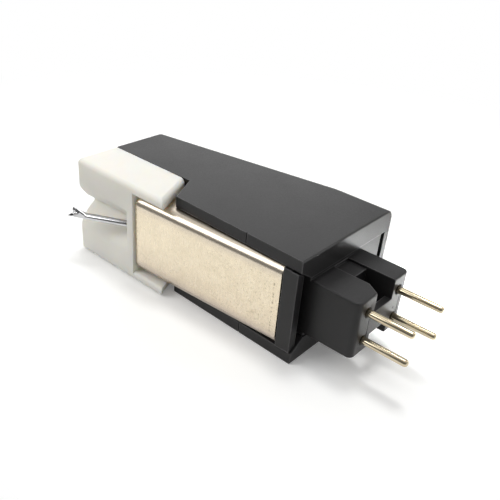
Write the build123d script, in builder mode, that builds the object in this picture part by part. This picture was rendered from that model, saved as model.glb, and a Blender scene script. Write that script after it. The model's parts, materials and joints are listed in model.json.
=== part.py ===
from build123d import *
import os
from math import atan2, cos, degrees, hypot, radians, sin, tan

# Plug-in moving-magnet cartridge, lying on one side wall.
# X runs along the cartridge towards the contact pins, Y from the record side to the top, Z across it.
# The origin is the centre of the pin pattern, in the plane of the housing's rear edge. Millimetres.

os.makedirs("parts", exist_ok=True)

# Fits
seat_gap = 0.1
slide_gap = 0.12
press_gap = 0.01
pivot_gap = 0.035

# Housing
body_width = 10.8
body_length = 28.2
record_edge = 5.7
record_edge_rise = 0.4
top_height = 8.8
slope_start = 6.3
front_top_height = 5.15
side_wall = 1.15
top_wall = 0.9
front_wall = 1.2
rear_rim_depth = 0.9
lead_in_height = 1.6
top_edge_radius = 0.9
front_corner_radius = 1.2
slope_radius = 4.0
edge_break = 0.12
notch_height = 3.85
notch_length = 11.15
notch_angle = 26.0
witness_width = 0.14
witness_depth = 0.08

# Plug and flange of the terminal block
plug_length = 4.95
plug_height = 8.05
plug_width = 5.7
plug_rim_gap = 0.35
plug_end_radius = 0.55
plug_edge_radius = 0.15
slot_height = 2.25
slot_offset = 0.475
root_web = 2.0
root_web_step = 0.25
end_web = 0.7
end_web_top = 0.85
end_web_bottom = 1.4
slot_lead_in = 1.3
slot_lead_in_rise = 0.8
flange_front = 1.75
flange_top = 7.4
pad_step = 0.1
bar_height = 0.85
bar_proud = 0.15
bar_back = 0.2
mould_line_width = 0.14
mould_line_length = 2.0
mould_line_offset = 0.5

# Contact pins
pin_diameter = 0.7
pin_length = 4.45
pin_tail = 0.8
pin_pitch_height = 5.05
pin_pitch_width = 2.9
pin_tip_radius = 0.28
pin_sink_diameter = 1.1
pin_shank_diameter = 0.8
pin_shank_sides = 8
pin_shank_inset = 0.15

# Shield
shield_reach = 2.5
shield_rear = 1.87
shield_front_drop = 6.74
shield_rear_drop = 5.85
shield_side_gap = 0.08
shield_thickness = 0.35
shield_flange = 5.0
shield_bend_radius = 0.95

# Stylus holder
holder_front = 28.5
holder_proud = 1.35
holder_edge_radius = 0.55
arm_thickness = 1.0
arm_edge_radius = 0.35
arm_far_gap = 0.65
arm_near_gap = 0.85
shield_front_gap = 0.12
strip_width = 0.85
# Trough: distance from its middle and depth below the record face, out past that face
trough_front = ((0.0, 2.1), (0.5, 1.6), (1.15, 0.95), (1.8, 0.48), (2.4, 0.17), (3.2, -0.12))
trough_rear = ((0.0, 2.5), (0.5, 2.1), (1.0, 1.4), (1.6, 0.65), (2.0, 0.25), (2.65, -0.12))
core_wall = 1.3
core_depth = 2.0
tongue_length = 1.2
tongue_width = 4.4
tongue_height = 3.8

# Stylus suspension
cantilever_angle = 28.0
cantilever_diameter = 0.72
cantilever_bore = 0.5
cantilever_reach = 7.36
cantilever_tail = 1.4
flat_length = 1.75
flat_angle = 14.0
flat_width = 1.2
flat_mid_width = 0.95
flat_thickness = 0.3
pivot_behind_strip = 0.42
pivot_above_shield = 2.17
sleeve_diameter = 1.7
sleeve_wall = 0.17
sleeve_front = 1.4
sleeve_rear = 4.0
sleeve_hole_lead = 1.0
damper_length = 0.7
magnet_diameter = 0.9
magnet_length = 2.0
magnet_hole_diameter = 0.56
magnet_hole_depth = 0.4
anchor_length = 0.4
wire_diameter = 0.12
shank_diameter = 0.34
shank_length = 0.85
shank_rake = 15.0
shank_inset = 0.55
tip_length = 0.5
tip_land = 0.15
tip_diameter = 0.28
tip_point_radius = 0.02

# Generator
frame_gap = 0.4
frame_setback = 1.15
frame_rear = 3.3
nose_length = 3.8
nose_top = 1.2
frame_floor = 0.6
frame_wall = 0.7
frame_wall_top = 1.9
socket_width = 2.0
socket_length = 3.4
socket_floor_gap = 0.11
pole_thickness = 0.7
pole_height = 0.8
pole_centre = 1.45
pole_inset = 0.4
pole_ramp = 1.7
pole_slot_gap = 0.05
top_tip_drop = 2.95
bottom_tip_drop = 4.15
top_leg_rise = 1.0
bottom_leg_drop = 3.0
coil_front_gap = 0.5
coil_rear_gap = 1.0
bobbin_core_wall = 0.2
bobbin_flange = 0.35
bobbin_height = 3.2
bobbin_width = 2.6
winding_inset = 0.2
winding_radius = 0.4
yoke_thickness = 0.6
yoke_width = 1.0
yoke_gap = 0.1
lead_diameter = 0.2
lead_offset = 2.6
lead_notch = 0.8
lead_notch_gap = 0.025
strap_thickness = 0.2
strap_width = 0.65
strap_length = 2.0
contact_gap = 0.02

# Values that follow from the sizes above
half_width = body_width / 2
inner_half = half_width - side_wall
plug_half_width = plug_width / 2
rim_half = plug_half_width + plug_rim_gap
rim_seat = rear_rim_depth + seat_gap
notch_slope = tan(radians(notch_angle))
notch_corner = notch_length - body_length
plug_half_height = plug_height / 2
slot_low = slot_offset - slot_height / 2
slot_high = slot_offset + slot_height / 2
block_half = inner_half - seat_gap
bar_outer = record_edge + bar_proud
bar_inner = bar_outer - bar_height
pin_radius = pin_diameter / 2
pin_shank_radius = pin_shank_diameter / 2
lead_radius = lead_diameter / 2
tail_end = flange_front + pin_tail
overrun = 1.0
pick = 0.01

# The notch's long edge lies this far below the pin centre
notch_drop = record_edge - notch_height


def top_line(x):
    """Height of the housing's outer top face at x."""
    fall = (top_height - front_top_height) / (body_length - slope_start)
    return top_height - max(0.0, -x - slope_start) * fall


def notch_edge(height):
    """X of the slanted rear edge of the housing's notch, at a height."""
    return notch_corner + (-notch_drop - height) * notch_slope


def record_line(x):
    """Height of the housing's record edge at x."""
    return record_edge_rise * x / notch_edge(record_edge_rise - record_edge) - record_edge


def rim_half_at(height):
    """Half width between the rear lips, which widen towards the record side."""
    lead_in = max(0.0, -height - (record_edge - lead_in_height)) / lead_in_height
    return rim_half + (inner_half - rim_half) * min(1.0, lead_in)


shield_front = shield_reach - notch_corner
shield_slope = (shield_front_drop - shield_rear_drop) / (shield_front - shield_rear)
shield_angle = atan2(shield_front_drop - shield_rear_drop, shield_front - shield_rear)
shield_length = hypot(shield_front_drop - shield_rear_drop, shield_front - shield_rear)
shield_half = inner_half - shield_side_gap
shield_inner_half = shield_half - shield_thickness
frame_half = shield_inner_half - frame_gap


def shield_inside(x):
    """Height of the shield's inner face at x."""
    return -shield_front_drop + (x + shield_front) * shield_slope + shield_thickness / cos(shield_angle)


# Housing: one moulded shell, open on the record side and at the rear
with BuildPart() as housing:
    with BuildSketch():
        with BuildLine():
            Polyline(
                (0, -record_edge),
                (0, top_height),
                (-slope_start, top_height),
                (-body_length - overrun, top_line(-body_length - overrun)),
                (-body_length - overrun, -record_edge),
                close=True,
            )
        make_face()
        fillet(vertices().filter_by(lambda v: abs(v.X + slope_start) < pick), slope_radius)
    extrude(amount=half_width, both=True)
    outer = edges().filter_by(lambda e: abs(e.center().Z) > half_width - pick)
    fillet(outer.filter_by(lambda e: e.center().Y > front_top_height), top_edge_radius)
    with BuildSketch():
        with BuildLine():
            Polyline(
                (overrun, -record_edge),
                (overrun, top_line(-slope_start) + overrun),
                (-slope_start, top_line(-slope_start) + overrun),
                (-slope_start, top_line(-slope_start)),
                (-body_length, front_top_height),
                (-body_length, -notch_drop),
                (notch_corner, -notch_drop),
                (notch_edge(record_edge_rise - record_edge), record_edge_rise - record_edge),
                (0, -record_edge),
                close=True,
            )
        make_face()
        fillet(vertices().sort_by(lambda v: v.Y - v.X)[-1], front_corner_radius)
    extrude(amount=half_width, both=True, mode=Mode.INTERSECT)
    rear_edges = edges().filter_by(lambda e: abs(e.center().X) < pick)
    chamfer(rear_edges.filter_by(lambda e: e.center().Y > -record_edge + pick), edge_break)
    with BuildSketch():
        with BuildLine():
            Polyline(
                (-rear_rim_depth, -top_height),
                (-rear_rim_depth, top_height - top_wall),
                (-slope_start, top_height - top_wall),
                (front_wall - body_length, top_line(front_wall - body_length) - top_wall),
                (front_wall - body_length, -top_height),
                close=True,
            )
        make_face()
    extrude(amount=inner_half, both=True, mode=Mode.SUBTRACT)
    with BuildSketch(Plane.YZ):
        with BuildLine():
            Polyline(
                (-record_edge - overrun, -inner_half),
                (-record_edge, -inner_half),
                (lead_in_height - record_edge, -rim_half),
                (top_height - top_wall, -rim_half),
                (top_height - top_wall, rim_half),
                (lead_in_height - record_edge, rim_half),
                (-record_edge, inner_half),
                (-record_edge - overrun, inner_half),
                close=True,
            )
        make_face()
    extrude(amount=rear_rim_depth + overrun, both=True, mode=Mode.SUBTRACT)
    with Locations((-slope_start, record_line(-slope_start), 0)):
        Box(witness_width, 2 * witness_depth, 2 * body_width, mode=Mode.SUBTRACT)
housing.part.label = "housing"
export_step(housing.part, "parts/housing.step")

# Terminal block: flange, record-side bar and slotted plug in one moulding
with BuildPart() as terminal_block:
    with BuildSketch(Plane.YZ.offset(-flange_front)):
        with Locations(((flange_top - bar_outer) / 2, 0)):
            Rectangle(flange_top + bar_outer, 2 * block_half)
    extrude(amount=flange_front - rim_seat)
    with BuildSketch(Plane.YZ.offset(-rim_seat)):
        with Locations(((flange_top - plug_half_height) / 2, 0)):
            Rectangle(flange_top + plug_half_height, 2 * (rim_half - seat_gap))
    extrude(amount=rim_seat - pad_step)
    with BuildSketch(Plane.YZ.offset(-rim_seat)):
        with BuildLine():
            Polyline(
                (-bar_outer, -block_half),
                (-bar_inner, seat_gap - rim_half_at(-bar_inner)),
                (-bar_inner, rim_half_at(-bar_inner) - seat_gap),
                (-bar_outer, block_half),
                close=True,
            )
        make_face()
    extrude(amount=rim_seat - bar_back)
    with BuildSketch(Plane.YZ.offset(-pad_step)):
        Rectangle(plug_height, plug_width)
    extrude(amount=plug_length + pad_step)
    plug_edges = edges().filter_by(lambda e: e.center().X > plug_length - pick)
    fillet(plug_edges.filter_by(Axis.Z), plug_end_radius)
    rim_edges = faces().sort_by(Axis.X)[-1].edges()
    fillet(rim_edges.filter_by(Axis.Y), plug_edge_radius)
    with BuildSketch():
        with BuildLine():
            Polyline(
                (root_web, slot_low),
                (plug_length - slot_lead_in, slot_low),
                (plug_length, slot_low - slot_lead_in_rise),
                (plug_length + overrun, slot_low - slot_lead_in_rise),
                (plug_length + overrun, slot_high),
                (root_web, slot_high),
                close=True,
            )
        make_face()
    extrude(amount=plug_width, both=True, mode=Mode.SUBTRACT)
    with BuildSketch(Plane.XY.offset(-end_web_bottom)):
        with Locations((plug_length - end_web / 2, slot_offset - slot_lead_in_rise / 2)):
            Rectangle(end_web, slot_height + slot_lead_in_rise)
    extrude(amount=end_web_top + end_web_bottom)
    with Locations(*[(root_web / 2, slot_offset, side * plug_half_width) for side in (1, -1)]):
        Box(root_web, slot_height, 2 * root_web_step, mode=Mode.SUBTRACT)
    with Locations(Plane.YZ.offset(plug_length)):
        with GridLocations(pin_pitch_height, pin_pitch_width, 2, 2):
            CounterSinkHole(pin_shank_radius + press_gap, pin_sink_diameter / 2)
    line_places = [
        (plug_length, side * pin_pitch_height / 2 + mould_line_offset, -mould_line_offset) for side in (1, -1)
    ]
    with Locations(*line_places):
        Box(mould_line_width, mould_line_width, mould_line_length, mode=Mode.SUBTRACT)
terminal_block.part.label = "terminal_block"
export_step(terminal_block.part, "parts/terminal_block.step")

# Contact pins: round outside, with an eight-sided shank that keeps them from turning in the plug
# They are named as seen from the pin side with the record side down, so left is +Z
pin_places = {
    "top_left": (pin_pitch_height / 2, pin_pitch_width / 2),
    "top_right": (pin_pitch_height / 2, -pin_pitch_width / 2),
    "bottom_left": (-pin_pitch_height / 2, pin_pitch_width / 2),
    "bottom_right": (-pin_pitch_height / 2, -pin_pitch_width / 2),
}
for place, (height, across) in pin_places.items():
    with BuildPart() as pin:
        with BuildSketch(Plane.YZ.offset(-tail_end)):
            with Locations((height, across)):
                RegularPolygon(pin_shank_radius, pin_shank_sides)
        extrude(amount=tail_end + plug_length - pin_shank_inset)
        with BuildSketch(Plane.YZ.offset(plug_length - pin_shank_inset)):
            with Locations((height, across)):
                Circle(pin_radius)
        extrude(amount=pin_shank_inset + pin_length)
        fillet(edges().sort_by(Axis.X)[-1], pin_tip_radius)
    pin.part.label = f"pin_{place}"
    export_step(pin.part, f"parts/pin_{place}.step")

# Shield: a sheet bent along both long edges, tilted towards the record at its front
with BuildPart() as shield:
    with BuildSketch():
        with BuildLine():
            Polyline(
                (-shield_front, -shield_front_drop),
                (-shield_rear, -shield_rear_drop),
                (-shield_rear, shield_flange - shield_rear_drop),
                (-shield_front, shield_flange - shield_front_drop),
                close=True,
            )
        make_face()
    extrude(amount=shield_half, both=True)
    long_edges = edges().filter_by(lambda e: e.length > shield_length - pick)
    fillet(long_edges.filter_by(lambda e: e.center().Y < -shield_rear_drop), shield_bend_radius)
    with BuildSketch():
        with BuildLine():
            Polyline(
                (-shield_front - overrun, shield_inside(-shield_front - overrun)),
                (overrun - shield_rear, shield_inside(overrun - shield_rear)),
                (overrun - shield_rear, shield_flange),
                (-shield_front - overrun, shield_flange),
                close=True,
            )
        make_face()
    extrude(amount=shield_inner_half, both=True, mode=Mode.SUBTRACT)
    inside_edges = edges().filter_by(lambda e: abs(abs(e.center().Z) - shield_inner_half) < pick)
    inside_low = inside_edges.filter_by(lambda e: e.center().Y < -shield_rear_drop + shield_thickness)
    inside_bends = inside_low.filter_by(lambda e: e.length > shield_length - pick)
    fillet(inside_bends, shield_bend_radius - shield_thickness)
shield.part.label = "shield"
export_step(shield.part, "parts/shield.step")

# Stylus pivot, and planes square to the cantilever's axis
strip_rear = shield_front + shield_front_gap
strip_front = strip_rear + strip_width
pivot_x = -strip_rear + pivot_behind_strip
pivot_y = -shield_front_drop + pivot_above_shield
axis_x = cos(radians(cantilever_angle))
axis_y = sin(radians(cantilever_angle))


def axis_plane(distance):
    """Plane square to the cantilever's axis, a distance behind the pivot."""
    centre = (pivot_x + distance * axis_x, pivot_y + distance * axis_y, 0)
    return Plane(origin=centre, x_dir=(0, 0, 1), z_dir=(axis_x, axis_y, 0))


# Stylus holder: block with a trough for the cantilever, two side arms and a tongue for the sleeve
holder_drop = record_edge + holder_proud
holder_far = -notch_drop - slide_gap
arm_inner_half = half_width - arm_thickness
with BuildPart() as stylus_holder:
    with BuildSketch():
        with BuildLine():
            Polyline(
                (-holder_front, -holder_drop),
                (-holder_front, holder_far),
                (notch_edge(holder_far) - arm_far_gap, holder_far),
                (notch_edge(-holder_drop) - arm_near_gap, -holder_drop),
                close=True,
            )
        make_face()
        fillet(vertices().sort_by(lambda v: v.X + v.Y)[0], holder_edge_radius)
    extrude(amount=half_width, both=True)
    outer = edges().filter_by(lambda e: abs(e.center().Z) > half_width - pick)
    fillet(outer.filter_by(lambda e: e.center().Y < holder_far - pick), holder_edge_radius)
    with Locations((0, 0, 0)):
        Box(2 * strip_rear, 4 * holder_drop, 2 * arm_inner_half, mode=Mode.SUBTRACT)
    arm_edges = edges().filter_by(lambda e: abs(abs(e.center().Z) - arm_inner_half) < pick)
    fillet(arm_edges.filter_by(lambda e: e.center().Y < pick - holder_drop), arm_edge_radius)
    for place, profile in ((holder_front, trough_front), (strip_front, trough_rear)):
        lower = [(depth - holder_drop, -across) for across, depth in reversed(profile)]
        upper = [(depth - holder_drop, across) for across, depth in profile[1:]]
        with BuildSketch(Plane.YZ.offset(-place)):
            with BuildLine():
                Spline(*lower, *upper)
                Polyline(
                    upper[-1],
                    (-holder_drop - overrun, upper[-1][1]),
                    (-holder_drop - overrun, lower[0][1]),
                    lower[0],
                )
            make_face()
    loft(ruled=True, mode=Mode.SUBTRACT)
    with BuildSketch(Plane.XZ.offset(-holder_far)):
        with Locations(((core_wall - holder_front - strip_front - core_wall) / 2, 0)):
            RectangleRounded(holder_front - strip_front - 2 * core_wall, 2 * inner_half, holder_edge_radius)
    extrude(amount=core_depth, mode=Mode.SUBTRACT)
    with BuildSketch(Plane.YZ.offset(-strip_rear)):
        with Locations((shield_inside(tongue_length - strip_rear) + seat_gap + tongue_height / 2, 0)):
            RectangleRounded(tongue_height, tongue_width, holder_edge_radius)
    extrude(amount=tongue_length)
    with BuildSketch(axis_plane(-sleeve_front - sleeve_hole_lead)):
        Circle(sleeve_diameter / 2 + press_gap)
    extrude(amount=sleeve_front + sleeve_hole_lead + sleeve_rear, mode=Mode.SUBTRACT)
stylus_holder.part.label = "stylus_holder"
export_step(stylus_holder.part, "parts/stylus_holder.step")

# Suspension sleeve, with the wire's anchor in its rear end
sleeve_bore = sleeve_diameter / 2 - sleeve_wall
with BuildPart() as suspension_sleeve:
    with BuildSketch(axis_plane(-sleeve_front)):
        Circle(sleeve_diameter / 2)
        Circle(sleeve_bore, mode=Mode.SUBTRACT)
    extrude(amount=sleeve_front + sleeve_rear)
suspension_sleeve.part.label = "suspension_sleeve"
export_step(suspension_sleeve.part, "parts/suspension_sleeve.step")

with BuildPart() as wire_anchor:
    with BuildSketch(axis_plane(sleeve_rear - anchor_length)):
        Circle(sleeve_bore - press_gap)
        Circle(wire_diameter / 2 + press_gap, mode=Mode.SUBTRACT)
    extrude(amount=anchor_length)
wire_anchor.part.label = "wire_anchor"
export_step(wire_anchor.part, "parts/wire_anchor.step")

magnet_rear = cantilever_tail + magnet_length
with BuildPart() as tie_wire:
    with BuildSketch(axis_plane(magnet_rear - magnet_hole_depth / 2)):
        Circle(wire_diameter / 2)
    extrude(amount=sleeve_rear - magnet_rear + magnet_hole_depth / 2)
tie_wire.part.label = "tie_wire"
export_step(tie_wire.part, "parts/tie_wire.step")

# Rubber damper ring that the cantilever pivots in
with BuildPart() as damper:
    with BuildSketch(axis_plane(-damper_length / 2)):
        Circle(sleeve_bore - pivot_gap)
        Circle(cantilever_diameter / 2 + pivot_gap, mode=Mode.SUBTRACT)
    extrude(amount=damper_length)
damper.part.label = "damper"
export_step(damper.part, "parts/damper.step")

# Cantilever: a tube whose front end is pressed flat and bent up
bend_x = pivot_x - cantilever_reach * axis_x
bend_y = pivot_y - cantilever_reach * axis_y
flat_x = cos(radians(flat_angle))
flat_y = sin(radians(flat_angle))


def flat_point(distance):
    """Point in the middle of the flattened end, a distance from the bend."""
    return (bend_x - distance * flat_x, bend_y - distance * flat_y, 0)


def flat_plane(distance):
    """Plane square to the flattened end."""
    return Plane(origin=flat_point(distance), x_dir=(0, 0, 1), z_dir=(flat_x, flat_y, 0))


shank_place = flat_length - shank_inset
shank_x = -sin(radians(shank_rake))
shank_y = -cos(radians(shank_rake))


def shank_point(distance):
    """Point on the shank's axis, a distance below the flattened end's middle."""
    middle = flat_point(shank_place)
    return (middle[0] + distance * shank_x, middle[1] + distance * shank_y, 0)


shank_plane = Plane(origin=shank_point(-flat_thickness), x_dir=(0, 0, 1), z_dir=(shank_x, shank_y, 0))
with BuildPart() as cantilever:
    with BuildSketch(axis_plane(-cantilever_reach)):
        Circle(cantilever_diameter / 2)
    extrude(amount=cantilever_reach + cantilever_tail)
    with BuildSketch(axis_plane(-cantilever_reach)):
        Circle(cantilever_diameter / 2)
    with BuildSketch(flat_plane(flat_length / 2)):
        Ellipse(flat_mid_width / 2, flat_thickness / 2)
    with BuildSketch(flat_plane(flat_length)):
        Ellipse(flat_width / 2, flat_thickness / 2)
    loft()
    with BuildSketch(axis_plane(-cantilever_reach)):
        Circle(cantilever_bore / 2)
    extrude(amount=2 * cantilever_reach, mode=Mode.SUBTRACT)
    with BuildSketch(shank_plane):
        Circle(shank_diameter / 2 + press_gap)
    extrude(amount=shank_length, mode=Mode.SUBTRACT)
cantilever.part.label = "cantilever"
export_step(cantilever.part, "parts/cantilever.step")

with BuildPart() as tip_shank:
    with BuildSketch(shank_plane):
        Circle(shank_diameter / 2)
    extrude(amount=shank_length)
tip_shank.part.label = "tip_shank"
export_step(tip_shank.part, "parts/tip_shank.step")

tip_top = shank_point(shank_length - flat_thickness)
tip_plane = Plane(origin=tip_top, x_dir=(0, 0, 1), z_dir=(-shank_y, shank_x, 0))
with BuildPart() as stylus_tip:
    with BuildSketch(tip_plane):
        with BuildLine():
            Polyline(
                (0, 0),
                (tip_diameter / 2, 0),
                (tip_diameter / 2, tip_land),
                (tip_point_radius, tip_length),
                (0, tip_length),
                close=True,
            )
        make_face()
    revolve(axis=Axis(tip_top, (shank_x, shank_y, 0)))
stylus_tip.part.label = "stylus_tip"
export_step(stylus_tip.part, "parts/stylus_tip.step")

with BuildPart() as magnet:
    with BuildSketch(axis_plane(cantilever_tail)):
        Circle(magnet_diameter / 2)
    extrude(amount=magnet_length)
    with BuildSketch(axis_plane(magnet_rear)):
        Circle(magnet_hole_diameter / 2)
    extrude(amount=-magnet_hole_depth, mode=Mode.SUBTRACT)
magnet.part.label = "magnet"
export_step(magnet.part, "parts/magnet.step")

# Coil frame: nose with the stylus socket, floor along the shield, and a rear wall
frame_front = shield_front - frame_setback
nose_rear = frame_front - nose_length
wall_front = frame_rear + frame_wall
pole_outer = pole_centre + pole_thickness / 2 + pole_slot_gap
notch_inner = lead_offset - lead_radius - lead_notch_gap
sleeve_low = pivot_y + (-frame_front - pivot_x) * tan(radians(cantilever_angle))
socket_low = sleeve_low - sleeve_diameter / 2 / cos(radians(cantilever_angle)) - socket_floor_gap
sleeve_high = pivot_y + sleeve_rear * axis_y + sleeve_diameter / 2 * axis_x + socket_floor_gap


def frame_under(x):
    """Height of the coil frame's underside, which lies along the shield."""
    return shield_inside(x) + seat_gap


with BuildPart() as coil_frame:
    with BuildSketch():
        with BuildLine():
            Polyline(
                (-frame_front, frame_under(-frame_front)),
                (-frame_rear, frame_under(-frame_rear)),
                (-frame_rear, frame_wall_top),
                (-wall_front, frame_wall_top),
                (-wall_front, frame_under(-wall_front) + frame_floor),
                (-nose_rear, frame_under(-nose_rear) + frame_floor),
                (-nose_rear, -nose_top),
                (-frame_front, -nose_top),
                close=True,
            )
        make_face()
    extrude(amount=frame_half, both=True)
    with Locations((-frame_front, (socket_low + sleeve_high) / 2, 0)):
        Box(2 * socket_length, sleeve_high - socket_low, socket_width, mode=Mode.SUBTRACT)
    for tip_drop in (top_tip_drop, bottom_tip_drop):
        with Locations((pole_inset / 2 - (frame_front + nose_rear) / 2, -tip_drop, 0)):
            Box(
                nose_length - pole_inset + pole_slot_gap,
                pole_height + 2 * pole_slot_gap,
                2 * pole_outer,
                mode=Mode.SUBTRACT,
            )
    with Locations(*[(-frame_rear, -pin_pitch_height / 2, side * frame_half) for side in (1, -1)]):
        Box(2 * (frame_wall + overrun), lead_notch, 2 * (frame_half - notch_inner), mode=Mode.SUBTRACT)
coil_frame.part.label = "coil_frame"
export_step(coil_frame.part, "parts/coil_frame.step")

# Pole pieces, bobbins and windings: left and right channels sit on opposite diagonals
left_yoke_front = wall_front + 2 * (yoke_thickness + yoke_gap)
right_yoke_front = wall_front + yoke_thickness + yoke_gap
coil_front = nose_rear - pole_ramp - coil_front_gap
coil_rear = left_yoke_front + coil_rear_gap
coil_length = coil_front - coil_rear
coil_places = {
    "top_left": (top_tip_drop, top_leg_rise, 1, left_yoke_front),
    "top_right": (top_tip_drop, top_leg_rise, -1, right_yoke_front),
    "bottom_left": (bottom_tip_drop, -bottom_leg_drop, 1, right_yoke_front),
    "bottom_right": (bottom_tip_drop, -bottom_leg_drop, -1, left_yoke_front),
}
pole_half = pole_height / 2
core_height = pole_height + 2 * (press_gap + bobbin_core_wall)
core_width = pole_thickness + 2 * (press_gap + bobbin_core_wall)
for place, (tip_drop, leg_height, side, leg_end) in coil_places.items():
    leg_plane = Plane.YZ.offset(-coil_front)
    with BuildPart() as pole:
        with BuildSketch(Plane.XY.offset(side * pole_centre - pole_thickness / 2)):
            with BuildLine():
                Polyline(
                    (pole_inset - frame_front, -tip_drop - pole_half),
                    (-nose_rear, -tip_drop - pole_half),
                    (pole_ramp - nose_rear, leg_height - pole_half),
                    (-leg_end, leg_height - pole_half),
                    (-leg_end, leg_height + pole_half),
                    (pole_ramp - nose_rear - pole_half, leg_height + pole_half),
                    (-nose_rear, -tip_drop + pole_half),
                    (pole_inset - frame_front, -tip_drop + pole_half),
                    close=True,
                )
            make_face()
        extrude(amount=pole_thickness)
    pole.part.label = f"pole_{place}"
    export_step(pole.part, f"parts/pole_{place}.step")

    with BuildPart() as bobbin:
        with BuildSketch(leg_plane):
            with Locations((leg_height, side * pole_centre)):
                Rectangle(core_height, core_width)
        extrude(amount=coil_length)
        with BuildSketch(leg_plane, leg_plane.offset(coil_length - bobbin_flange)):
            with Locations((leg_height, side * pole_centre)):
                Rectangle(bobbin_height, bobbin_width)
        extrude(amount=bobbin_flange)
        with BuildSketch(leg_plane):
            with Locations((leg_height, side * pole_centre)):
                Rectangle(pole_height + 2 * press_gap, pole_thickness + 2 * press_gap)
        extrude(amount=coil_length, mode=Mode.SUBTRACT)
    bobbin.part.label = f"bobbin_{place}"
    export_step(bobbin.part, f"parts/bobbin_{place}.step")

    with BuildPart() as winding:
        with BuildSketch(leg_plane.offset(bobbin_flange + press_gap)):
            with Locations((leg_height, side * pole_centre)):
                RectangleRounded(
                    bobbin_height - 2 * winding_inset, bobbin_width - 2 * winding_inset, winding_radius
                )
                Rectangle(core_height + 2 * press_gap, core_width + 2 * press_gap, mode=Mode.SUBTRACT)
        extrude(amount=coil_length - 2 * (bobbin_flange + press_gap))
    winding.part.label = f"winding_{place}"
    export_step(winding.part, f"parts/winding_{place}.step")

# Yokes: each joins one channel's two pole pieces behind the coils
leg_span = top_leg_rise + bottom_leg_drop
yoke_span = hypot(leg_span, 2 * pole_centre)
yoke_turn = degrees(atan2(2 * pole_centre, leg_span))
yoke_places = (("left", left_yoke_front, yoke_turn), ("right", right_yoke_front, -yoke_turn))
for channel, yoke_front, turn in yoke_places:
    with BuildPart() as yoke:
        with BuildSketch(Plane.YZ.offset(-yoke_front)):
            with Locations(((top_leg_rise - bottom_leg_drop) / 2, 0)):
                SlotCenterToCenter(yoke_span, yoke_width, rotation=turn)
        extrude(amount=yoke_thickness)
    yoke.part.label = f"yoke_{channel}"
    export_step(yoke.part, f"parts/yoke_{channel}.step")

# Leads: straight to the top pins, round the rear wall to the bottom pins
for place, (height, across) in pin_places.items():
    with BuildPart() as lead:
        if height > 0:
            with BuildSketch(Plane.YZ.offset(-coil_rear)):
                with Locations((height, across)):
                    Circle(lead_radius)
            extrude(amount=coil_rear - tail_end)
        else:
            outside = lead_offset if across > 0 else -lead_offset
            pin_reach = pin_shank_radius + contact_gap
            pin_side = across + (pin_reach if across > 0 else -pin_reach)
            bend = (-tail_end + pin_shank_radius, height, outside)
            with BuildLine():
                Polyline((-coil_rear, height, outside), bend, (bend[0], height, pin_side))
            with BuildSketch(Plane.YZ.offset(-coil_rear)):
                with Locations((height, outside)):
                    Circle(lead_radius)
            sweep(transition=Transition.RIGHT)
    lead.part.label = f"lead_{place}"
    export_step(lead.part, f"parts/lead_{place}.step")

# Jumpers: join each channel's two coils in front of the bobbins
jumper_top = top_leg_rise - bobbin_height / 2 + winding_inset
jumper_bottom = bobbin_height / 2 - bottom_leg_drop - winding_inset
jumper_across = pole_centre - bobbin_width / 2 + winding_inset
for channel, side, row in (("left", 1, 1), ("right", -1, 2)):
    jumper_x = -coil_front - row * lead_diameter - contact_gap
    run = Vector(0, jumper_bottom - jumper_top, -2 * side * jumper_across)
    with BuildPart() as jumper:
        start = (jumper_x, jumper_top, side * jumper_across)
        with BuildSketch(Plane(origin=start, x_dir=(1, 0, 0), z_dir=run)):
            Circle(lead_radius)
        extrude(amount=run.length)
    jumper.part.label = f"jumper_{channel}"
    export_step(jumper.part, f"parts/jumper_{channel}.step")

# Ground strap: from the shield's flange to the bottom right pin
strap_outer = shield_inner_half - contact_gap
strap_inner = strap_outer - strap_thickness
strap_rear = tail_end - strap_thickness
strap_height = -pin_pitch_height / 2 - lead_radius - strap_width
strap_end = pin_pitch_width / 2 + pin_shank_radius
with BuildPart() as ground_strap:
    with BuildSketch(Plane(origin=(0, strap_height, 0), x_dir=(1, 0, 0), z_dir=(0, 1, 0))):
        with BuildLine():
            Polyline(
                (-strap_rear - strap_length, strap_outer),
                (-strap_rear, strap_outer),
                (-strap_rear, strap_end),
                (-strap_rear - strap_thickness, strap_end),
                (-strap_rear - strap_thickness, strap_inner),
                (-strap_rear - strap_length, strap_inner),
                close=True,
            )
        make_face()
    extrude(amount=strap_width)
ground_strap.part.label = "ground_strap"
export_step(ground_strap.part, "parts/ground_strap.step")
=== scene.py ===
import json
import math

import bpy
from mathutils import Matrix, Vector


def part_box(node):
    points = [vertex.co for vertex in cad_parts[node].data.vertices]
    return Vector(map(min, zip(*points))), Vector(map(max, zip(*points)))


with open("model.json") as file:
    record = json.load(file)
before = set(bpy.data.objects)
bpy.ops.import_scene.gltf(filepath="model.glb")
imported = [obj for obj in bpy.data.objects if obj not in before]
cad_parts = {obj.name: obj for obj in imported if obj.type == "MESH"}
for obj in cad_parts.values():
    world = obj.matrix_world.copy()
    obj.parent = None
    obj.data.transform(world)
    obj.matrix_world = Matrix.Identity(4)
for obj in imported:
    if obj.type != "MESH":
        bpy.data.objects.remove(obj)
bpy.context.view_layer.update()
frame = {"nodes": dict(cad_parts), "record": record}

scene = bpy.context.scene
nodes = frame["nodes"]
floor_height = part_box("housing")[0].z
white = (1.0, 1.0, 1.0)


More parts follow.
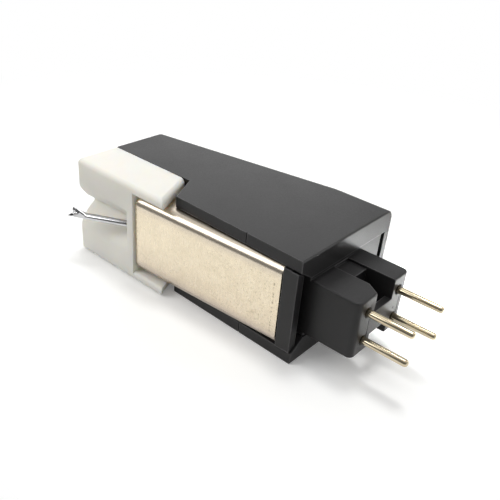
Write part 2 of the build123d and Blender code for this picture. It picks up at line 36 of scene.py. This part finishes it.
# Camera at the photograph's angle
azimuth = math.radians(38.297)
elevation = math.radians(30.634)
roll = math.radians(5.2225)
camera_place = (0.024373, -0.043711, 0.032716)
back = Vector((
    math.sin(azimuth) * math.cos(elevation),
    -math.cos(azimuth) * math.cos(elevation),
    math.sin(elevation),
))
level_right = Vector((math.cos(azimuth), math.sin(azimuth), 0.0))
level_up = back.cross(level_right)
right = level_right * math.cos(roll) + level_up * math.sin(roll)
up = level_up * math.cos(roll) - level_right * math.sin(roll)
camera_data = bpy.data.cameras.new("camera")
camera_data.sensor_width = 36.0
camera_data.lens = 46.685
camera_data.clip_start = 0.002
camera_data.clip_end = 20.0
camera = bpy.data.objects.new("camera", camera_data)
scene.collection.objects.link(camera)
turned = Matrix((right, up, back)).transposed().to_4x4()
camera.matrix_world = Matrix.Translation(camera_place) @ turned
scene.camera = camera


# Materials
noise_low, noise_high = 0.3, 0.7  # most values of a noise texture lie between these
noise_roughness = 0.55
edge_samples = 16
bevel_samples = 6
mix_factor, mix_first, mix_second, mix_result = 0, 6, 7, 2  # a Mix node's sockets for colours


class NodeTree:
    """A node tree, with short ways to fill it."""

    def __init__(self, tree):
        self.tree = tree

    def feed(self, socket, value):
        """Link a socket to another node's output, or set it to a constant."""
        if isinstance(value, bpy.types.NodeSocket):
            self.tree.links.new(value, socket)
        else:
            socket.default_value = value

    def node(self, kind, inputs=(), **settings):
        made = self.tree.nodes.new(kind)
        for key, value in settings.items():
            setattr(made, key, value)
        for key, value in dict(inputs).items():
            self.feed(made.inputs[key], value)
        return made

    def calc(self, operation, *values):
        """One step of arithmetic."""
        return self.node("ShaderNodeMath", enumerate(values), operation=operation).outputs[0]

    def span(self, value, low, high, from_low=noise_low, from_high=noise_high, curve="LINEAR"):
        """Low to high, as value goes from from_low to from_high."""
        limits = {"From Min": from_low, "From Max": from_high, "To Min": low, "To Max": high}
        made = self.node("ShaderNodeMapRange", {"Value": value, **limits}, interpolation_type=curve)
        return made.outputs["Result"]

    def shader(self, kind, inputs=()):
        return self.node(kind, inputs).outputs[0]

    def shader_mix(self, value, first, second):
        """A shader that goes from first to second with value."""
        return self.shader("ShaderNodeMixShader", enumerate((value, first, second)))


class Finish(NodeTree):
    """A material round one Principled shader, with textures in the part's own frame."""

    def __init__(self, name, colour, roughness, metallic=0.0, specular=0.5):
        self.name = name
        self.material = bpy.data.materials.new(name)
        self.material.use_nodes = True
        super().__init__(self.material.node_tree)
        self.surface = self.tree.nodes["Principled BSDF"].inputs
        self.surface["Base Color"].default_value = (*colour, 1.0)
        self.surface["Roughness"].default_value = roughness
        self.surface["Metallic"].default_value = metallic
        self.surface["Specular IOR Level"].default_value = specular
        self.place = self.node("ShaderNodeTexCoord").outputs["Object"]

    def noise(self, scale, detail=3.0, stretch=(1.0, 1.0, 1.0)):
        """Cloudy values, on the part's coordinates scaled apart along X, Y and Z."""
        place = self.node("ShaderNodeMapping", {"Scale": stretch, "Vector": self.place}).outputs["Vector"]
        cloud = {"Scale": scale, "Detail": detail, "Roughness": noise_roughness}
        return self.node("ShaderNodeTexNoise", {"Vector": place, **cloud}).outputs["Fac"]

    def blend(self, value, first, second, from_low=noise_low, from_high=noise_high):
        """A colour that goes from first to second with value."""
        made = self.node("ShaderNodeValToRGB", {"Fac": value})
        start, end = made.color_ramp.elements
        start.position, start.color = from_low, (*first, 1.0)
        end.position, end.color = from_high, (*second, 1.0)
        return made.outputs["Color"]

    def axis(self, letter):
        """One of the part's own coordinates."""
        return self.node("ShaderNodeSeparateXYZ", {0: self.place}).outputs[letter]

    def from_line(self, value, middle):
        """Distance of value from middle, on either side."""
        return self.calc("ABSOLUTE", self.calc("SUBTRACT", value, middle))

    def from_point(self, point):
        """Distance from a point of the part."""
        made = self.node("ShaderNodeVectorMath", {0: self.place, 1: point}, operation="DISTANCE")
        return made.outputs["Value"]

    def product(self, first, *others):
        """Values multiplied together."""
        for other in others:
            first = self.calc("MULTIPLY", first, other)
        return first

    def sum(self, first, second, share):
        """first plus share times second."""
        return self.calc("MULTIPLY_ADD", second, share, first)

    def colour_mix(self, value, first, second, kind="MIX"):
        """second mixed into first as far as value goes."""
        sockets = {mix_factor: value, mix_first: first, mix_second: second}
        made = self.node("ShaderNodeMix", sockets, data_type="RGBA", blend_type=kind)
        return made.outputs[mix_result]

    def times(self, first, *others):
        """Colours multiplied together."""
        for other in others:
            first = self.colour_mix(1.0, first, other, "MULTIPLY")
        return first

    def outer_edge(self, width):
        """1 along the outer edges and 0 away from them."""
        settings = {"inside": True, "only_local": True, "samples": edge_samples}
        made = self.node("ShaderNodeAmbientOcclusion", {"Distance": width}, **settings)
        return self.span(made.outputs["AO"], 1.0, 0.0, 0.5, 0.9)

    def colour(self, tone):
        self.tone = tone
        self.feed(self.surface["Base Color"], tone)

    def roughness(self, gloss):
        self.gloss = gloss
        self.feed(self.surface["Roughness"], gloss)

    def bump(self, height, depth, edge=0.0):
        """Relief of a depth, on edges that look rounded by a radius."""
        made = self.node("ShaderNodeBump", {"Distance": depth, "Height": height})
        if edge:
            rounded = self.node("ShaderNodeBevel", {"Radius": edge}, samples=bevel_samples)
            self.feed(made.inputs["Normal"], rounded.outputs["Normal"])
        self.feed(self.surface["Normal"], made.outputs["Normal"])


def grained_plastic(name, colour, darker, roughness, specular, grain, depth, edge=0.0):
    """Moulded plastic with a fine eroded grain and a slow change of shade."""
    slow_scale, slow_share, gloss_change = 260.0, 0.6, 0.06
    made = Finish(name, colour, roughness, specular=specular)
    fine = made.noise(grain, detail=2.0)
    slow = made.noise(slow_scale, detail=2.0)
    made.colour(made.blend(slow, darker, colour))
    uneven = made.sum(fine, slow, slow_share)
    made.roughness(made.span(uneven, roughness - gloss_change, roughness + gloss_change, 0.5, 1.1))
    made.bump(fine, depth, edge)
    return made


def metal(name, colour, roughness, tones, gloss, grain, depth, stretch=(1.0, 1.0, 1.0)):
    """Metal with a fine grain, between two tones and two values of roughness."""
    made = Finish(name, colour, roughness, metallic=1.0)
    fine = made.noise(grain, stretch=stretch)
    made.colour(made.blend(fine, *tones))
    made.roughness(made.span(fine, *gloss))
    made.bump(fine, depth)
    return made


black = grained_plastic(
    "black_plastic",
    colour=(0.0155, 0.0150, 0.0155),
    darker=(0.0115, 0.0111, 0.0115),
    roughness=0.42,
    specular=0.35,
    grain=9000.0,
    depth=0.000004,
    edge=0.00008,
)
# Painted highlight: outer edges a little lighter, more in some places than in others
edge_highlight_width, edge_highlight_scale, edge_highlight_colour = 0.00016, 900.0, (0.10, 0.098, 0.10, 1.0)
edge_highlight = black.product(black.outer_edge(edge_highlight_width), black.span(black.noise(edge_highlight_scale), 0.4, 1.0))
black.colour(black.colour_mix(edge_highlight, black.tone, edge_highlight_colour))
# Small dull mark on the end of the plug's far prong
mark_place, mark_inner, mark_outer, mark_dullness = (0.00495, 0.00224, -0.00037), 0.00007, 0.00013, 0.5
mark = black.span(black.from_point(mark_place), 1.0, 0.0, mark_inner, mark_outer)
black.roughness(black.sum(black.gloss, mark, mark_dullness))

ivory = grained_plastic(
    "ivory_plastic",
    colour=(0.92, 0.895, 0.825),
    darker=(0.89, 0.865, 0.795),
    roughness=0.46,
    specular=0.4,
    grain=5000.0,
    depth=0.000003,
    edge=0.00010,
)
ivory.surface["Subsurface Weight"].default_value = 0.7
ivory.surface["Subsurface Radius"].default_value = (1.0, 0.85, 0.65)
ivory.surface["Subsurface Scale"].default_value = 0.0008

# Shield: a flat middle between two bends, with streaks across it, specks and a dotted line near its rear;
# painted shade darkens its lower side, its bends and its flanges
nickel = Finish("nickel_sheet", (0.76, 0.67, 0.51), 0.26, metallic=1.0)
crosswise = (1.0, 1.0, 0.35)
bend_start, bend_end = 0.0026, 0.0034
low_shade_start, low_shade_end = -0.0038, 0.0002
specks_front, specks_rear = -0.014, -0.005
line_place, line_inner, line_outer = -0.0025, 0.00003, 0.00012
flat = nickel.span(nickel.from_line(nickel.axis("Z"), 0.0), 1.0, 0.0, bend_start, bend_end)
bend = nickel.span(flat, 1.0, 0.0, 0.0, 1.0)
# Painted shade, a reflection of the floor's shadow: 1 low on the sheet, fading out towards its middle
painted_low_shade = nickel.span(nickel.axis("Z"), 1.0, 0.0, low_shade_start, low_shade_end)
streak = nickel.product(nickel.noise(2600.0, detail=4.0, stretch=crosswise), flat)
grain = nickel.noise(8000.0, detail=2.0, stretch=crosswise)
patch = nickel.noise(700.0)
to_rear = nickel.span(nickel.axis("X"), 0.2, 1.0, specks_front, specks_rear)
specks = nickel.product(nickel.span(nickel.noise(4600.0), 0.0, 1.0, 0.56, 0.66), to_rear, flat)
rear_line = nickel.span(nickel.from_line(nickel.axis("X"), line_place), 1.0, 0.0, line_inner, line_outer)
dots = nickel.product(nickel.span(nickel.noise(3600.0), 0.0, 1.0, 0.46, 0.58), rear_line, flat)
cloudy_tones = (
    (streak, (0.94, 0.93, 0.91), white),
    (grain, (0.92, 0.91, 0.89), white),
    (patch, (0.83, 0.735, 0.585), (0.90, 0.800, 0.642)),
)
placed_tones = (
    (specks, white, (0.82, 0.81, 0.77)),
    # painted shade: darker and pinker towards the lower side
    (painted_low_shade, (1.0, 1.0, 0.98), (0.88, 0.87, 0.88)),
    # painted shade: bends and flanges darker and cooler
    (bend, white, (0.84, 0.85, 0.92)),
    (dots, white, (0.55, 0.53, 0.49)),
)
nickel.colour(nickel.times(
    *(nickel.blend(*tone) for tone in cloudy_tones),
    *(nickel.blend(*tone, 0.0, 1.0) for tone in placed_tones),
))
nickel.roughness(nickel.sum(nickel.span(streak, 0.20, 0.32), bend, 0.08))
nickel.bump(streak, 0.0000007)

gold = metal(
    "gold_plate",
    colour=(0.66, 0.59, 0.44),
    roughness=0.12,
    tones=((0.56, 0.475, 0.33), (0.68, 0.60, 0.44)),
    gloss=(0.08, 0.16),
    grain=3000.0,
    depth=0.0000005,
    stretch=(0.08, 1.0, 1.0),
)
aluminium = metal(
    "aluminium_tube",
    colour=(0.54, 0.54, 0.55),
    roughness=0.09,
    tones=((0.49, 0.49, 0.50), (0.59, 0.59, 0.60)),
    gloss=(0.06, 0.12),
    grain=3600.0,
    depth=0.0000005,
)
steel = metal(
    "steel",
    colour=(0.56, 0.56, 0.57),
    roughness=0.24,
    tones=((0.44, 0.44, 0.45), (0.56, 0.56, 0.57)),
    gloss=(0.19, 0.31),
    grain=4000.0,
    depth=0.000002,
)
magnet_metal = metal(
    "magnet_metal",
    colour=(0.22, 0.22, 0.23),
    roughness=0.42,
    tones=((0.15, 0.15, 0.16), (0.22, 0.22, 0.23)),
    gloss=(0.37, 0.49),
    grain=4000.0,
    depth=0.000002,
)
pole_metal = metal(
    "pole_metal",
    colour=(0.52, 0.51, 0.48),
    roughness=0.34,
    tones=((0.42, 0.41, 0.39), (0.52, 0.51, 0.48)),
    gloss=(0.29, 0.41),
    grain=3000.0,
    depth=0.000002,
)

diamond = Finish("diamond", (0.03, 0.03, 0.034), 0.12, specular=0.8)
facet = diamond.noise(6000.0)
diamond.colour(diamond.blend(facet, (0.02, 0.02, 0.024), (0.05, 0.05, 0.055)))
diamond.roughness(diamond.span(facet, 0.08, 0.2))

rubber = grained_plastic(
    "damper_rubber",
    colour=(0.03, 0.03, 0.03),
    darker=(0.02, 0.02, 0.02),
    roughness=0.7,
    specular=0.3,
    grain=5000.0,
    depth=0.000005,
)
carrier = grained_plastic(
    "carrier_plastic",
    colour=(0.52, 0.49, 0.42),
    darker=(0.47, 0.44, 0.38),
    roughness=0.5,
    specular=0.4,
    grain=4000.0,
    depth=0.000003,
)

# Copper in bands, as turns of wire
copper = Finish("copper", (0.62, 0.25, 0.11), 0.3, metallic=1.0)
turns = copper.node(
    "ShaderNodeTexWave",
    {"Vector": copper.place, "Scale": 3200.0, "Distortion": 0.4},
    wave_type="BANDS",
    bands_direction="X",
).outputs["Fac"]
copper.colour(copper.blend(turns, (0.42, 0.15, 0.06), (0.66, 0.28, 0.13), 0.1, 0.7))
copper.bump(turns, 0.00002)

made_finishes = (
    black, ivory, nickel, gold, aluminium, diamond, steel, rubber, magnet_metal, pole_metal, carrier, copper
)
finishes = {finish.name: finish for finish in made_finishes}
slots = {piece["node"]: piece["material_slot"] for piece in frame["record"]["subparts"]}


# CAD nodes: finish, joined vertices and smooth shading on their round faces
weld_distance = 0.000001
crease_angle = math.radians(30.0)
for name in nodes:
    piece = nodes[name]
    piece.data.materials.clear()
    piece.data.materials.append(finishes[slots[name]].material)
    piece.modifiers.new("weld", "WELD").merge_threshold = weld_distance
    for face in piece.data.polygons:
        face.use_smooth = True
    piece.modifiers.new("creases", "EDGE_SPLIT").split_angle = crease_angle


def emptied(owner):
    """The node tree of a material or a world, with nothing in it."""
    owner.use_nodes = True
    owner.node_tree.nodes.clear()
    return NodeTree(owner.node_tree)


# Floor: bright to the viewer and in mirrors, duller in the light that it throws back, plain white far out
floor_reach, floor_front = 3.0, -0.030
white_start, white_full = 0.045, 0.090
floor_corners = [
    (-floor_reach, floor_front, 0),
    (floor_reach, floor_front, 0),
    (floor_reach, floor_reach, 0),
    (-floor_reach, floor_reach, 0),
]
floor_mesh = bpy.data.meshes.new("floor")
floor_mesh.from_pydata(floor_corners, [], [(0, 1, 2, 3)])
floor = bpy.data.objects.new("floor", floor_mesh)
floor.location.z = floor_height
scene.collection.objects.link(floor)

paper = bpy.data.materials.new("floor")
floor_mesh.materials.append(paper)
sheet = emptied(paper)
ray = sheet.node("ShaderNodeLightPath").outputs
matt = sheet.shader("ShaderNodeBsdfDiffuse", {"Color": (0.56, 0.56, 0.55, 1.0)})
bright = sheet.shader("ShaderNodeBsdfDiffuse", {"Color": (1.0, 1.0, 0.99, 1.0)})
glow = sheet.shader("ShaderNodeEmission", {"Strength": 0.13})
lit = sheet.shader("ShaderNodeAddShader", {0: bright, 1: glow})
mirrored_too = sheet.calc("MAXIMUM", ray["Is Camera Ray"], ray["Is Glossy Ray"])
seen = sheet.calc("MAXIMUM", mirrored_too, ray["Is Transmission Ray"])
position = sheet.node("ShaderNodeNewGeometry").outputs["Position"]
away = sheet.node("ShaderNodeVectorMath", {0: position}, operation="LENGTH").outputs["Value"]
far_out = sheet.span(away, 0.0, 1.0, white_start, white_full, "SMOOTHSTEP")
far_seen = sheet.calc("MULTIPLY", far_out, ray["Is Camera Ray"])
near_floor = sheet.shader_mix(seen, matt, lit)
whole_floor = sheet.shader_mix(far_seen, near_floor, sheet.shader("ShaderNodeEmission"))
sheet.node("ShaderNodeOutputMaterial", {"Surface": whole_floor})

# Room: white to the viewer, and in mirrors with a darker side in front where the viewer stands
room_light = 0.38
behind_shade = 0.75
front_low, front_high = 0.24, 1.0
world = bpy.data.worlds.new("room")
scene.world = world
room = emptied(world)
ray = room.node("ShaderNodeLightPath").outputs
facing = room.node("ShaderNodeTexCoord").outputs["Generated"]
part_of = room.node("ShaderNodeSeparateXYZ", {0: facing}).outputs
in_front = room.span(part_of["Y"], 0.0, 1.0, -0.20, -0.50, "SMOOTHSTEP")
lowered = room.span(part_of["X"], 0.0, -0.50, -0.40, -0.05, "SMOOTHSTEP")
level = room.calc("ADD", part_of["Z"], lowered)
front_shade = room.span(level, front_low, front_high, 0.34, 0.50, "SMOOTHSTEP")
shades = {"Factor": in_front, "A": behind_shade, "B": front_shade}
shade = room.node("ShaderNodeMix", shades).outputs["Result"]
lighting = room.shader("ShaderNodeBackground", {"Strength": room_light})
mirrored = room.shader("ShaderNodeBackground", {"Strength": shade})
plain_room = room.shader("ShaderNodeBackground", {"Color": (*white, 1.0)})
unseen_room = room.shader_mix(ray["Is Glossy Ray"], lighting, mirrored)
whole_room = room.shader_mix(ray["Is Camera Ray"], unseen_room, plain_room)
room.node("ShaderNodeOutputWorld", {"Surface": whole_room})


def softbox(name, direction, size, watts, distance=0.40, centre=(-0.010, 0.0, 0.0), beam=180.0):
    """A rectangular lamp that faces a centre from a direction."""
    data = bpy.data.lights.new(name, "AREA")
    data.shape = "RECTANGLE"
    data.size, data.size_y = size
    data.energy = watts
    data.spread = math.radians(beam)
    lamp = bpy.data.objects.new(name, data)
    scene.collection.objects.link(lamp)
    towards = Vector(direction).normalized()
    lamp.location = Vector(centre) + towards * distance
    lamp.rotation_euler = towards.to_track_quat("Z", "Y").to_euler()


softbox("softbox_top", direction=(-0.05, -0.12, 1.0), size=(0.34, 0.26), watts=0.20)
softbox("lamp_top", direction=(-0.08, 0.16, 1.0), size=(0.08, 0.08), watts=0.44)
softbox("softbox_front", direction=(-0.57, -0.64, 0.57), size=(0.28, 0.18), watts=0.56)
softbox("softbox_back", direction=(-0.72, 0.53, 0.41), size=(0.42, 0.36), watts=0.40)
softbox("softbox_rear", direction=(0.50, 0.68, 0.53), size=(0.20, 0.20), watts=0.22)
# Brighter patch of floor beyond the pins
softbox(
    "floor_light",
    direction=(0.0, 0.15, 1.0),
    size=(0.012, 0.012),
    watts=0.0043,
    distance=0.030,
    centre=(0.0088, 0.0162, floor_height),
    beam=40.0,
)

scene.view_settings.view_transform = "Standard"
